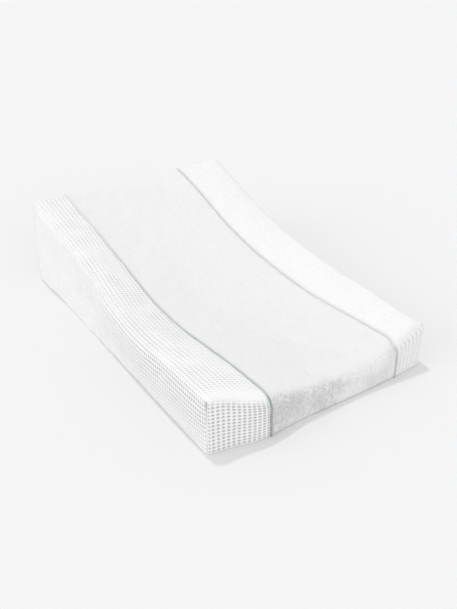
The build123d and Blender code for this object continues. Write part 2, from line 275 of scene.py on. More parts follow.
def creases(u, v):
    """How far the layers of clouds push the cloth out."""
    on_wall = smooth(wall_depth(u, v), *RIM_ZONE)
    on_long = np.abs(u) > WALL_X
    growth = WRINKLES_AT_FOOT + WRINKLES_TO_HEAD * smooth(v, -20 * MM, 300 * MM)
    out = clouds(u, v, WAVES)
    out = out + on_wall * on_long * growth * clouds(u, v, WRINKLES)
    out = out + on_wall * ~on_long * clouds(u, v, END_WRINKLES)
    return (out + np.exp(-seam_gap(u, v) / PUCKER_REACH) * clouds(u, v, PUCKERS)) * MM


def swell(u, v):
    """How far the cloth stands off the smooth form, before seams and weave."""
    if settled is None:
        down = wall_depth(u, v)
        belly = BELLY * smooth(down, *RIM_ZONE)
        return creases(u, v) + belly * np.sin(np.clip(down / BELLY_DEPTH, 0, 1) * math.pi)
    return CREASE_SHARE * creases(u, v) + between(settled, u, v)


def sewn(u, v, z):
    """How far the cloth is drawn in at its seams."""
    dip = SEAM_DIP * bell(seam_gap(u, v), SEAM_WIDTH)
    dart = bell(corner_gap(u, v), DART_WIDTH) * smooth(wall_depth(u, v), 0, DART_START)
    return dip + DART_DIP * dart + HEM_TUCK * bell(z - HEM_Z, TUCK_WIDTH)


def lie(u, v):
    """Where the cloth lies at lattice (u, v), seams left out."""
    place, normal = frame_of(u, v, form)
    return place + normal * swell(u, v)[..., None]


def cloth(u, v, relief):
    """Points of a panel: the cloth, drawn in at its seams, with relief added along its normal."""
    place, normal = frame_of(u, v, lie)
    return place + normal * (relief - sewn(u, v, place[..., 2]))[..., None]


PROBE = 40 * MM  # a depth below every rim's rounding, where a wall falls straight


def drop_to(u, v, z):
    """Distance down the wall below (u, v) from the rim to height z."""
    on_x = np.abs(u) >= WALL_X
    u = np.where(on_x, np.sign(u) * (WALL_X + PROBE), u)
    v = np.where(on_x, v, np.where(v < 0, FOOT_Y - PROBE, HEAD_Y + PROBE))
    return form(u, v)[..., 2] + PROBE - z


# ---- mesh helpers
def mesh_object(name, verts, faces, attributes=None):
    """A smooth-shaded object of these vertices and faces, with values stored at its points."""
    if isinstance(faces, np.ndarray):
        faces = faces.tolist()
    mesh = bpy.data.meshes.new(name)
    mesh.from_pydata(np.asarray(verts).reshape(-1, 3).tolist(), [], faces)
    mesh.update()
    for key, values in (attributes or {}).items():
        values = np.asarray(values, np.float32)
        kind = "FLOAT" if values.ndim == 1 else "FLOAT_VECTOR"
        layer = mesh.attributes.new(key, kind, "POINT")
        layer.data.foreach_set("value" if values.ndim == 1 else "vector", values.ravel())
    mesh.polygons.foreach_set("use_smooth", [True] * len(mesh.polygons))
    obj = bpy.data.objects.new(name, mesh)
    bpy.context.scene.collection.objects.link(obj)
    return obj


def quads_of(rows, columns, keep=None):
    """Quads of a rows x columns grid of vertices; keep is a mask of (rows-1) x (columns-1)."""
    i = np.arange(rows * columns).reshape(rows, columns)
    faces = np.stack([i[:-1, :-1], i[:-1, 1:], i[1:, 1:], i[1:, :-1]], -1)
    return faces[keep] if keep is not None else faces.reshape(-1, 4)


def only_used(verts, faces, attributes):
    """The same mesh without the vertices that no face uses."""
    used, faces = np.unique(faces, return_inverse=True)
    faces = faces.reshape(-1, 4)
    return verts[used], faces, {key: values[used] for key, values in attributes.items()}


def touches(mask):
    """Vertices of a grid that a masked cell touches."""
    out = np.zeros((mask.shape[0] + 1, mask.shape[1] + 1), bool)
    out[:-1, :-1] |= mask
    out[1:, :-1] |= mask
    out[:-1, 1:] |= mask
    out[1:, 1:] |= mask
    return out


def middles(a):
    """Values at the middles of a grid's cells."""
    return 0.25 * (a[:-1, :-1] + a[1:, :-1] + a[:-1, 1:] + a[1:, 1:])


# ---- the cover settles on the foam: cloth
SIM_CELL = 7 * MM
SIM_FRAMES = 20
SIM_CAP = 4.5 * MM  # the cloth may stand this far off the smooth form
SIM_REACH = 200 * MM  # the lattice runs this far down every wall
# how far from a seam the cloth is held down
HELD_AT_HEM, HELD_AT_DART, HELD_AT_ZIP, HELD_AT_SEAM = (
    share * SIM_CELL for share in (1.2, 0.8, 1.5, 0.6)
)
SIM_SETTINGS = {
    "quality": 6, "mass": 0.3, "tension_stiffness": 70, "compression_stiffness": 70,
    "shear_stiffness": 8, "bending_stiffness": 0.6, "use_pressure": True,
    "uniform_pressure_force": 0.4, "vertex_group_mass": "sewn",
    "shrink_min": -0.004,  # the cover is cut a little larger than the foam
}


def spline_weights(t):
    """Shares of the four nearest nodes for a point t of the way between the middle two."""
    return (
        (1 - t) ** 3 / 6,
        (3 * t**3 - 6 * t**2 + 4) / 6,
        (-3 * t**3 + 3 * t**2 + 3 * t + 1) / 6,
        t**3 / 6,
    )


def between(grid, u, v):
    """Values of a simulated grid at lattice points, smoothly blended between its nodes."""
    a = np.clip((u + WALL_X + SIM_REACH) / SIM_CELL, 1, grid.shape[0] - 3)
    b = np.clip((v - FOOT_Y + SIM_REACH) / SIM_CELL, 1, grid.shape[1] - 3)
    i, j = a.astype(int), b.astype(int)
    total = 0
    for k, share_u in enumerate(spline_weights(a - i)):
        for m, share_v in enumerate(spline_weights(b - j)):
            total = total + share_u * share_v * grid[i + k - 1, j + m - 1]
    return total


def settle():
    """Blow the sewn cover up lightly from inside and read how far it stands off the form."""
    us = np.arange(-WALL_X - SIM_REACH, WALL_X + SIM_REACH + SIM_CELL, SIM_CELL)
    vs = np.arange(FOOT_Y - SIM_REACH, HEAD_Y + SIM_REACH + SIM_CELL, SIM_CELL)
    u, v = np.meshgrid(us, vs, indexing="ij")
    place, normal = frame_of(u, v, form)
    on_long, on_short = np.abs(u) > WALL_X, (v < FOOT_Y) | (v > HEAD_Y)
    in_use = ~(on_long & on_short) & (place[..., 2] > HEM_Z)
    keep = in_use[:-1, :-1] & in_use[1:, :-1] & in_use[:-1, 1:] & in_use[1:, 1:]
    used = touches(keep)
    hem = place[..., 2] < HEM_Z + HELD_AT_HEM
    dart = corner_gap(u, v) < HELD_AT_DART
    slot = (u > WALL_X) & (np.abs(place[..., 2] - ZIP_Z) < HELD_AT_ZIP)
    sewn_down = hem | dart | slot | (seam_gap(u, v) < HELD_AT_SEAM)
    faces = quads_of(*u.shape, keep)
    index = np.full(u.size, -1)
    index[used.ravel()] = np.arange(used.sum())
    sheet = mesh_object("settling", place[used], index[faces][:, ::-1])
    pins = sheet.vertex_groups.new(name="sewn")
    pins.add(np.flatnonzero(sewn_down[used]).tolist(), 1.0, "REPLACE")
    cloth_settings = sheet.modifiers.new("cloth", "CLOTH").settings
    for key, value in SIM_SETTINGS.items():
        setattr(cloth_settings, key, value)
    cloth_settings.effector_weights.gravity = 0
    scene = bpy.context.scene
    for number in range(1, SIM_FRAMES + 1):
        scene.frame_set(number)
    shape = sheet.evaluated_get(bpy.context.evaluated_depsgraph_get()).data
    moved = np.empty(3 * len(shape.vertices))
    shape.vertices.foreach_get("co", moved)
    out = np.zeros(u.shape)
    out[used] = ((moved.reshape(-1, 3) - place[used]) * normal[used]).sum(-1)
    bpy.data.objects.remove(sheet)
    scene.frame_set(1)
    return SIM_CAP * np.tanh(np.maximum(out, 0) / SIM_CAP)


settled = settle()

# ---- waffle panels
CELL_U, CELL_V = 8.7 * MM, 6.2 * MM
PER_CELL = 4
PIT_TOP, PIT_WALL = 0.9 * MM, 1.8 * MM  # depth of the cells on the top and on the walls
PIT_ACROSS = np.array([0.0, 0.85, 1.0, 0.85])
PIT_ALONG = np.array([0.0, 0.70, 1.0, 0.70])
# A panel's lattice runs from this far off the middle line to this far down its wall
CUT_IN, CUT_DOWN = 90 * MM, 200 * MM
FOOT_CELLS, HEAD_CELLS = 15, 30  # cells down the foot flap and the head flap
CALM = (0.5 * MM, 4 * MM)  # the weave is pressed flat beside a seam, and full this far off
SLOT_HALF_OPEN = 4.9 * MM  # half of the gap between the zip's hems
HEM_LAP, HEM_EDGE = 0.9 * MM, 0.9 * MM  # the slot's hems turn in by this over this width
HEM_STITCH = 3.2 * MM  # the stitches run this far from the hem's edge
STITCH_DIP = 0.45 * MM
STITCH_PITCH, STITCH_LENGTH, STITCH_R = 3.1 * MM, 2.3 * MM, 0.35 * MM
STITCH_LIFT = 0.1 * MM
STITCH_Y = 298 * MM  # the stitches run this far to either side of the middle


def waffle_lattice(side):
    """Lattice points (u, v) of a side panel before cutting, and its rows along the top."""
    step_u = CELL_U / PER_CELL
    inner = int(math.ceil((WALL_X - CUT_IN) / step_u / PER_CELL)) * PER_CELL
    outer = int(math.ceil(CUT_DOWN / step_u))
    across = WALL_X + step_u * np.arange(-inner, outer + 1)
    along_cells = round((HEAD_Y - FOOT_Y) / CELL_V)
    along = np.linspace(FOOT_Y, HEAD_Y, along_cells * PER_CELL + 1)
    foot_rows, head_rows = FOOT_CELLS * PER_CELL, HEAD_CELLS * PER_CELL
    rows = foot_rows + len(along) + head_rows
    u = np.broadcast_to(side * across, (rows, len(across))).copy()
    v = np.zeros_like(u)
    v[foot_rows:foot_rows + len(along)] = along[:, None]
    flap_u = np.clip(side * u[0], 0, WALL_X) * side
    foot_depth = drop_to(flap_u, np.full_like(flap_u, FOOT_Y), HEM_Z)
    head_depth = drop_to(flap_u, np.full_like(flap_u, HEAD_Y), HEM_Z)
    share = np.arange(foot_rows, 0, -1) / foot_rows
    v[:foot_rows] = FOOT_Y - share[:, None] * foot_depth
    share = np.arange(1, head_rows + 1) / head_rows
    v[foot_rows + len(along):] = HEAD_Y + share[:, None] * head_depth
    if side < 0:
        u, v = u[:, ::-1].copy(), v[:, ::-1].copy()
    return u, v, along, foot_rows


def cut_waffle(u, v, side, slot_end):
    """Cells to keep, and the vertices on the cut edge; those vertices are moved to the cut."""
    step_u = CELL_U / PER_CELL
    mu, mv = middles(u), middles(v)
    end = (mv < FOOT_Y) | (mv > HEAD_Y)
    beyond_wall = np.abs(mu) > WALL_X
    past_seam = side * (mu - seam_x(side, mv)) < 0
    past_base = beyond_wall & ~end & (np.abs(mu) - WALL_X > drop_to(mu, mv, HEM_Z))
    keep = ~past_seam & ~past_base & ~(end & beyond_wall)
    at_seam = touches(past_seam)
    at_base = touches(past_base) & (np.abs(u) > WALL_X)
    at_slot = np.zeros_like(at_seam)
    if slot_end is not None:
        low = drop_to(mu, mv, ZIP_Z - SLOT_HALF_OPEN)
        high = drop_to(mu, mv, ZIP_Z + SLOT_HALF_OPEN)
        down = np.abs(mu) - WALL_X
        hole = beyond_wall & ~end & (down > high) & (down < low) & (np.abs(mv) < slot_end)
        keep &= ~hole
        at_slot = touches(hole)
    used = touches(keep)
    at_seam &= used
    at_base &= used
    at_slot &= used
    u[at_seam] = seam_x(side, v[at_seam])
    u[at_base] = side * (WALL_X + drop_to(u[at_base], v[at_base], HEM_Z))
    if slot_end is not None:
        su, sv = u[at_slot], v[at_slot]
        high = WALL_X + drop_to(su, sv, ZIP_Z + SLOT_HALF_OPEN)
        low = WALL_X + drop_to(su, sv, ZIP_Z - SLOT_HALF_OPEN)
        nearest = np.where(np.abs(su - high) < np.abs(su - low), high, low)
        at_end = np.abs(np.abs(sv) - slot_end) < 1e-9
        middle = at_end & (su > high + step_u / 2) & (su < low - step_u / 2)
        u[at_slot] = np.where(middle, su, nearest)
    return keep, at_seam | at_base


def hem_relief(relief, u, v, slot_end):
    """The weave's relief with the zip slot's hems: pressed flat, turned in and stitched."""
    z = form(u, v)[..., 2]
    off_hem = np.abs(np.abs(z - ZIP_Z) - SLOT_HALF_OPEN)
    past_end = np.maximum(np.abs(v) - slot_end, 0)
    near = np.hypot(off_hem * (np.abs(z - ZIP_Z) > SLOT_HALF_OPEN - 1e-6), past_end)
    near = np.where(u > WALL_X, near, 1.0)
    relief = relief * smooth(near, 1 * MM, 6 * MM)
    relief = relief - STITCH_DIP * bell(near - HEM_STITCH, HEM_EDGE)
    return relief - HEM_LAP * bell(near, HEM_EDGE)


# How dark the painted shade in the cells is. Side -1 is the left panel, side 1 the right one.
DARK_ON_TOP = {-1: 0.68, 1: 0.20}
DARK_ON_WALL = {-1: 1.0, 1: 0.72}
DARK_AT_HEAD = 0.52  # share left at the head end of the long walls
LOW_FADE, FOOT_EDGE_FADE = 0.3, 0.6  # shares lost low on the long walls, and on top at the foot
TOP_SHADE = {-1: 0.24, 1: 0.48}  # painted shade greying the top of each band; on the left, at its head end


def waffle_shade(u, v, side, pit, flat):
    """How dark each point's painted shade in the cells is, from 0 to 1, and how light the painted
    shade over the top leaves it, from 0 to 1.

    The cells are painted dark as the shade that falls in them: fully on the end walls and down the
    long walls towards the foot, less towards the head end, low on the long walls and on the top,
    and more on the left panel than on the right.
    """
    down = wall_depth(u, v)
    on_long = np.abs(u) > WALL_X
    on_wall = np.where(on_long, smooth(down, -10 * MM, 12 * MM), smooth(down, 0, 16 * MM))
    to_foot = smooth(-v, -250 * MM, 100 * MM)
    # painted shade in the cells down the walls: full on the end walls and towards the foot, less
    # towards the head and low on the long walls
    wall_shade = np.where(on_long, DARK_AT_HEAD + (1 - DARK_AT_HEAD) * to_foot, 1.0)
    wall_shade = wall_shade * (1 - LOW_FADE * smooth(down, 50 * MM, 100 * MM) * on_long)
    wall_shade = wall_shade * DARK_ON_WALL[side]
    # painted shade in the cells on the top, uneven, fading at the foot edge
    on_top = DARK_ON_TOP[side] * (1 + 0.25 * cloud(u, v, 30 * MM, 8))
    on_top = on_top * (1 - FOOT_EDGE_FADE * smooth(FOOT_Y - v, -35 * MM, -5 * MM))
    dark = pit * flat * (on_top * (1 - on_wall) + wall_shade * on_wall)
    # the darts hold a thin shadow, widest just below the rim
    width = 1.4 * MM + 1.6 * MM * (1 - smooth(down, 6 * MM, 30 * MM))
    creased = bell(corner_gap(u, v), width) * smooth(down, 0, 5 * MM)
    dark = np.maximum(dark, creased * (1 - 0.5 * smooth(down, 20 * MM, 60 * MM)))
    # painted shade: the top of the right band greyed more than the left, whose grey grows towards
    # the head
    top_shade = TOP_SHADE[side] * (1 if side > 0 else smooth(v, -250 * MM, 50 * MM))
    return dark, 1 - top_shade * (1 - on_wall)


def waffle_panel(name, side, slot=False):
    """A side panel: top band, long wall, and the ends of the foot and head walls."""
    u, v, along, foot_rows = waffle_lattice(side)
    row = np.arange(len(u))[:, None] - foot_rows
    column = np.round((np.abs(u) - WALL_X) / (CELL_U / PER_CELL)).astype(int)
    pit = PIT_ALONG[row % PER_CELL] * PIT_ACROSS[column % PER_CELL]
    threads = column * (CELL_U / PER_CELL), row * CELL_V / PER_CELL + 0 * u, 0 * u
    slot_end = along[np.argmin(np.abs(along - SLOT_HALF_LENGTH))] if slot else None
    keep, at_cut = cut_waffle(u, v, side, slot_end)

    depth = PIT_TOP + (PIT_WALL - PIT_TOP) * smooth(wall_depth(u, v), -14 * MM, 10 * MM)
    depth = depth * (1 + 0.25 * cloud(u, v, 20 * MM, 7))
    flat = smooth(np.abs(u - seam_x(side, v)), *CALM) * smooth(corner_gap(u, v), *CALM)
    flat *= ~at_cut
    relief = -depth * flat * pit
    if slot:
        relief = hem_relief(relief, u, v, slot_end)
    points = cloth(u, v, relief)
    dark, painted_lightness = waffle_shade(u, v, side, pit, flat)
    weave = np.stack(threads, -1).reshape(-1, 3)
    data = {"pit": dark.ravel(), "painted_lightness": painted_lightness.ravel(), "weave": weave}
    verts, faces, data = only_used(points.reshape(-1, 3), quads_of(*u.shape, keep), data)
    return mesh_object(name, verts, faces, data)


# ---- terry panel
TERRY_PITCH = 2.05 * MM
TERRY_FOOT_ROWS, TERRY_HEAD_ROWS = 32, 88
PILE = 0.35 * MM  # mean height of the loops over the smooth form
# Lumps in the pile as layers of clouds, in mm, and the mottle and patches of the painted shade on
# the foot wall
TUFTS = ((0.42, 4.3 * MM, 11), (0.30, 7.5 * MM, 12), (0.20, 15 * MM, 13))
MOTTLE = ((0.6, 2.6 * MM, 14, 2.2), (0.5, 4.5 * MM, 15))
PATCHES = ((0.5, 28 * MM, 16),)
TERRY_CALM = (0.3 * MM, 3.5 * MM)  # the pile is pressed flat beside the piping


def terry_panel(name):
    """The strip down the middle: foot wall, top and head wall in one length."""
    columns = round(2 * STRIP_HALF / TERRY_PITCH) + 1
    along = np.linspace(FOOT_Y, HEAD_Y, round((HEAD_Y - FOOT_Y) / TERRY_PITCH) + 1)
    foot_rows, head_rows = TERRY_FOOT_ROWS, TERRY_HEAD_ROWS
    t = np.linspace(0, 1, columns)
    rows = foot_rows + len(along) + head_rows
    v = np.zeros((rows, columns))
    v[foot_rows:foot_rows + len(along)] = along[:, None]
    ends = []
    for y in (FOOT_Y, HEAD_Y):
        edge = seam_x(-1, y) * (1 - t) + seam_x(1, y) * t
        ends.append((edge, drop_to(edge, np.full_like(edge, y), HEM_Z)))
    share = np.arange(foot_rows, 0, -1) / foot_rows
    v[:foot_rows] = FOOT_Y - share[:, None] * ends[0][1]
    share = np.arange(1, head_rows + 1) / head_rows
    v[foot_rows + len(along):] = HEAD_Y + share[:, None] * ends[1][1]
    u = seam_x(-1, v) * (1 - t) + seam_x(1, v) * t
    tufts = clouds(u, v, TUFTS)
    points = cloth(u, v, smooth(seam_gap(u, v), *TERRY_CALM) * (PILE + tufts * MM))
    weave = np.stack([u, v, 0 * u], -1).reshape(-1, 3)
    # painted shade, in mottled patches, where the strip turns down over the foot wall, less to the
    # right and more low on the left
    depth = FOOT_Y - v
    turned = smooth(depth, -16 * MM, 6 * MM) * (1 - 0.55 * smooth(u, 20 * MM, 130 * MM))
    low_left = smooth(-u, -20 * MM, 100 * MM) * smooth(depth, 0, 30 * MM)
    foot_shade = 0.45 + 0.6 * clouds(u, v, MOTTLE) + clouds(u, v, PATCHES) + 0.3 * low_left
    foot_shade = np.clip(turned * foot_shade, 0, 1)
    data = {"pit": tufts.ravel(), "open": foot_shade.ravel(), "weave": weave}
    return mesh_object(name, points.reshape(-1, 3), quads_of(rows, columns), data)


# ---- piping
PIPE_R, CORD_R = 1.9 * MM, 1.3 * MM
PIPE_PITCH = 1.8 * MM  # distance between the rings of a tube
PIPE_LIFT = 0.4 * MM  # the piping's middle stands this far off the cloth
PIPE_STRAY = 0.35 * MM  # and strays this far to the side, as a hand-fed seam does
STRAY_SIZE, RIPPLE_SIZE = 22 * MM, 6 * MM


def tube(name, path, normals, radius, painted_lightness, sides=14, ripple=0.0, seed=20):
    """A closed tube along path, with its ring turned to the given normals."""
    along = np.gradient(path, axis=0)
    along /= np.linalg.norm(along, axis=1, keepdims=True)
    normals = normals - (normals * along).sum(1, keepdims=True) * along
    normals /= np.linalg.norm(normals, axis=1, keepdims=True)
    across = np.cross(along, normals)
    length = np.concatenate([[0], np.cumsum(np.linalg.norm(np.diff(path, axis=0), axis=1))])
    angle = np.linspace(0, 2 * math.pi, sides, endpoint=False)
    grid_s, grid_a = np.meshgrid(length, angle, indexing="ij")
    size = radius * (1 + ripple * cloud(grid_s, grid_a * radius, RIPPLE_SIZE, seed))
    ring = np.cos(grid_a)[..., None] * normals[:, None]
    ring = ring + np.sin(grid_a)[..., None] * across[:, None]
    verts = (path[:, None] + ring * size[..., None]).reshape(-1, 3)
    count = len(path)
    i = np.arange(count * sides).reshape(count, sides)
    j = np.roll(i, -1, axis=1)
    faces = np.stack([i[:-1], j[:-1], j[1:], i[1:]], -1).reshape(-1, 4).tolist()
    faces += [i[0][::-1].tolist(), i[-1].tolist()]
    weave = np.stack([grid_a * radius, grid_s, 0 * grid_s], -1).reshape(-1, 3)
    data = {"weave": weave, "painted_lightness": np.repeat(painted_lightness, sides)}
    return mesh_object(name, verts, faces, data)


def seam_line(side, lift):
    """Points along a piped seam, evenly spaced, and the outward normals there."""
    foot = drop_to(seam_x(side, FOOT_Y), np.array(FOOT_Y), HEM_Z)
    head = drop_to(seam_x(side, HEAD_Y), np.array(HEAD_Y), HEM_Z)
    v = np.linspace(FOOT_Y - foot, HEAD_Y + head, 2400)
    place, normal = frame_of(seam_x(side, v), v, lie)
    length = np.concatenate([[0], np.cumsum(np.linalg.norm(np.diff(place, axis=0), axis=1))])
    even = np.linspace(0, length[-1], round(length[-1] / PIPE_PITCH))
    place = np.stack([np.interp(even, length, place[:, k]) for k in range(3)], 1)
    normal = np.stack([np.interp(even, length, normal[:, k]) for k in range(3)], 1)
    stray = PIPE_STRAY * cloud(even, 0 * even, STRAY_SIZE, 30 + side)
    across = np.cross(np.gradient(place, axis=0), normal)
    across /= np.linalg.norm(across, axis=1, keepdims=True)
    return place + normal * lift + across * stray[:, None], normal


# ---- foam, liner and base
def weld(obj, gap, close=False):
    """Join points nearer than gap, close the open bottom if asked, and turn the faces outwards."""
    bm = bmesh.new()
    bm.from_mesh(obj.data)
    bmesh.ops.remove_doubles(bm, verts=bm.verts, dist=gap)
    if close:
        rim = [edge for edge in bm.edges if edge.is_boundary]
        bmesh.ops.holes_fill(bm, edges=rim, sides=0)
        bottom = [face for face in bm.faces if len(face.verts) > 4]
        bmesh.ops.triangulate(bm, faces=bottom)
    bmesh.ops.recalc_face_normals(bm, faces=bm.faces)
    for face in bm.faces:
        face.smooth = True
    bm.to_mesh(obj.data)
    bm.free()
    return obj


def shell(name, inset, low, cells=(46, 70, 12), closed=False):
    """A coarse skin inset metres inside the cover, down to height low; closed adds a bottom."""
    wall_x, foot, head = WALL_X - inset, FOOT_Y + inset, HEAD_Y - inset
    across, along, downs = cells
    a, b = np.linspace(-wall_x, wall_x, across + 1), np.linspace(foot, head, along + 1)
    grids = [np.meshgrid(a, b, indexing="ij")]
    share = np.linspace(0, 1, downs + 1)
    for sign in (-1, 1):
        beyond = np.full_like(b, sign * (wall_x + PROBE))
        depth = form(beyond, b, inset)[:, 2] + PROBE - low
        grids.append((sign * (wall_x + share[:, None] * depth), b + 0 * share[:, None]))
        edge = foot if sign < 0 else head
        beyond = np.full_like(a, edge + sign * PROBE)
        depth = form(a, beyond, inset)[:, 2] + PROBE - low
        grids.append((a + 0 * share[:, None], edge + sign * share[:, None] * depth))
    verts, faces = [], []
    for u, v in grids:
        faces.append(quads_of(*u.shape) + sum(len(p) for p in verts))
        verts.append(form(u, v, inset).reshape(-1, 3))
    obj = mesh_object(name, np.concatenate(verts), np.concatenate(faces))
    return weld(obj, 0.02 * MM, close=closed)


SHEET_PITCH = 9 * MM
SHEET_EDGE = 0.8 * MM  # width of a flat sheet's rounded edge
SHARP = 1e-6  # a rim this small leaves the plan of the walls as it is at the top's edge


def plan_sheet(name, inset, low, high):
    """A flat sheet with a rounded edge, cut to the pad's plan."""
    wall_x, foot, head = WALL_X - inset, FOOT_Y + inset, HEAD_Y - inset
    a = np.linspace(-wall_x, wall_x, round(2 * wall_x / SHEET_PITCH) + 1)
    b = np.linspace(foot, head, round((head - foot) / SHEET_PITCH) + 1)
    a = np.sort(np.concatenate([a, [-wall_x + SHEET_EDGE, wall_x - SHEET_EDGE]]))
    b = np.sort(np.concatenate([b, [foot + SHEET_EDGE, head - SHEET_EDGE]]))
    u, v = np.meshgrid(a, b, indexing="ij")
    x, y, _ = plan(u, v, inset, rim=SHARP)
    on_edge = np.minimum(wall_x - np.abs(u), np.minimum(v - foot, head - v)) < SHARP
    top = np.where(on_edge, 0.5 * (low + high), high)
    bottom = np.where(on_edge, 0.5 * (low + high), low)
    up = np.stack([x, y, top], -1).reshape(-1, 3)
    under = np.stack([x, y, bottom], -1).reshape(-1, 3)
    faces = quads_of(*u.shape)
    faces = np.concatenate([faces, faces[:, ::-1] + len(up)])
    return weld(mesh_object(name, np.concatenate([up, under]), faces), 0.01 * MM)


# ---- materials
WAVE_SCALE = 0.314  # a wave texture of scale 1 has bands this many metres apart


class Graph:
    """A material's node tree, with short calls to add nodes and join them."""

    def __init__(self, name):
        self.material = bpy.data.materials.new(name)
        self.material.use_nodes = True
        self.tree = self.material.node_tree
        self.tree.nodes.clear()

    def add(self, kind, inputs=None, **settings):
        """A node with these settings; an input is a value or another node's output."""
        made = self.tree.nodes.new("ShaderNode" + kind)
        for key, value in settings.items():
            setattr(made, key, value)
        for key, value in (inputs or {}).items():
            if isinstance(value, bpy.types.NodeSocket):
                self.tree.links.new(value, made.inputs[key])
            else:
                made.inputs[key].default_value = value
        return made

    def math(self, operation, *values):
        return self.add("Math", dict(enumerate(values)), operation=operation).outputs[0]

    def mix(self, share, a, b):
        inputs = {0: share, 6: a, 7: b}
        return self.add("Mix", inputs, data_type="RGBA").outputs[2]

    def ramp(self, value, low, high, to_low=0.0, to_high=1.0):
        """value stretched so that low becomes to_low and high becomes to_high."""
        inputs = {0: value, 1: low, 2: high, 3: to_low, 4: to_high}
        return self.add("MapRange", inputs).outputs[0]

    def stored(self, name, output="Fac"):
        """A value stored at the mesh's points."""
        return self.add("Attribute", attribute_name=name).outputs[output]

    def weave(self):
        """The cloth's own coordinates, in metres along its threads."""
        return self.stored("weave", "Vector")

    def place(self):
        return self.add("TexCoord").outputs["Object"]

    def noise(self, vector, size, detail=2.0, rough=0.5):
        """Noise from about 0.3 to 0.7 in lumps of the given size."""
        inputs = {"Vector": vector, "Scale": 1 / size, "Detail": detail, "Roughness": rough}
        return self.add("TexNoise", inputs).outputs[0]

    def threads(self, vector, size, direction):
        """Slightly wavering threads, size apart."""
        inputs = {"Vector": vector, "Scale": WAVE_SCALE / size, "Distortion": 0.6}
        inputs |= {"Detail": 1.0, "Detail Scale": 2.0}
        made = self.add("TexWave", inputs, wave_type="BANDS", bands_direction=direction)
        return made.outputs["Fac"]

    def crossed(self, vector, size):
        """Warp and weft threads, high where both are on top."""
        warp, weft = self.threads(vector, size, "X"), self.threads(vector, size, "Y")
        return self.math("MULTIPLY", warp, weft)

    def bump(self, height, distance, strength):
        inputs = {"Height": height, "Distance": distance, "Strength": strength}
        return self.add("Bump", inputs).outputs[0]

    def surface(self, colour, roughness, normal=None, **settings):
        """The finished material; settings are even over the whole surface."""
        inputs = {"Base Color": colour, "Roughness": roughness}
        if normal is not None:
            inputs["Normal"] = normal
        shader = self.add("BsdfPrincipled", inputs)
        for key, value in settings.items():
            shader.inputs[key.replace("_", " ")].default_value = value
        self.add("OutputMaterial", {"Surface": shader.outputs[0]})
        return self.material


def grey(value, warm=0.0):
    """A linear grey, a little towards yellow when warm is above 0."""
    return (value * (1 + warm), value, value * (1 - 1.6 * warm), 1.0)


def waffle_material():
    """White cotton with painted shade in its cells, and painted shade greying the top where the
    stored lightness is low.
    """
    g = Graph("waffle_cloth")
    at, thread = g.weave(), 0.9 * MM
    shade = g.mix(g.noise(g.place(), 50 * MM, 3.0), grey(0.885), grey(0.91, 0.002))
    # painted shade: the cells darkened towards dark grey
    hollow = g.math("MULTIPLY", g.math("POWER", g.stored("pit"), 1.7), 0.92)
    # painted shade: the cloth greyed where the stored lightness is low
    shade = g.mix(g.stored("painted_lightness"), grey(0.74), shade)
    colour = g.mix(hollow, shade, grey(0.30, 0.004))
    fuzz = g.noise(at, thread, 3.0, 0.7)
    height = g.math("ADD", g.crossed(at, thread), g.math("MULTIPLY", fuzz, 0.8))
    normal = g.bump(height, 0.22 * MM, 0.55)
    rough = g.ramp(fuzz, 0.2, 0.8, 0.82, 0.98)
    return g.surface(colour, rough, normal, Sheen_Weight=0.25, Sheen_Roughness=0.5,
                     Specular_IOR_Level=0.25)


def terry_material():
    """White loops, with painted shade in dark streaks where the strip turns down over the foot
    wall.
    """
    g = Graph("terry_cloth")
    at, pile = g.weave(), g.stored("pit")
    broad = g.mix(g.noise(g.place(), 40 * MM, 3.0), grey(0.752), grey(0.776, 0.002))
    colour = g.mix(g.ramp(pile, 0.3, -0.7, 0.0, 0.6), broad, grey(0.748, 0.003))
    loops = g.noise(at, 1.5 * MM, 3.0, 0.65)
    curls = g.add("TexVoronoi", {"Vector": at, "Scale": 1 / (1.7 * MM)}).outputs[0]
    colour = g.mix(g.ramp(loops, 0.62, 0.32, 0.0, 0.2), colour, grey(0.67, 0.003))
    # the painted shade of the foot wall, as stored at the points
    ground = g.stored("open")
    upright = g.add("Mapping", {"Vector": at, "Scale": (1.0, 0.4, 1.0)}).outputs[0]
    streaks = g.ramp(g.noise(upright, 1.7 * MM, 3.0, 0.7), 0.35, 0.65, 0.2, 1.0)
    # painted shade: dark grey streaks over the foot wall
    colour = g.mix(g.math("MULTIPLY", ground, streaks), colour, grey(0.40, 0.004))
    height = g.math("SUBTRACT", g.math("MULTIPLY", loops, 1.3), g.math("MULTIPLY", curls, 0.5))
    normal = g.bump(height, 0.55 * MM, 0.75)
    return g.surface(colour, 0.95, normal, Sheen_Weight=0.45, Sheen_Roughness=0.6,
                     Specular_IOR_Level=0.15)


def piping_material():
    """Grey-green tape cut on the bias, with painted shade from dark to pale by the stored
    lightness.
    """
    g = Graph("piping_cloth")
    turned = {"Vector": g.weave(), "Angle": math.radians(45)}
    diagonal = g.add("VectorRotate", turned, rotation_type="Z_AXIS").outputs[0]
    over = g.crossed(diagonal, 0.55 * MM)
    painted_lightness = g.stored("painted_lightness")
    # painted shade: from dark grey-green to pale with the stored lightness
    shade_colour = g.mix(painted_lightness, (0.22, 0.28, 0.26, 1), (0.68, 0.72, 0.70, 1))
    patches = g.ramp(g.noise(g.place(), 12 * MM, 3.0), 0.3, 0.7, 0.0, 0.25)
    shade = g.mix(patches, shade_colour, grey(0.75))
    colour = g.mix(g.math("MULTIPLY", over, 0.25), shade, (0.74, 0.78, 0.76, 1))
    normal = g.bump(over, 0.15 * MM, 0.6)
    return g.surface(colour, 0.85, normal, Sheen_Weight=0.2, Sheen_Roughness=0.5,
                     Specular_IOR_Level=0.3)


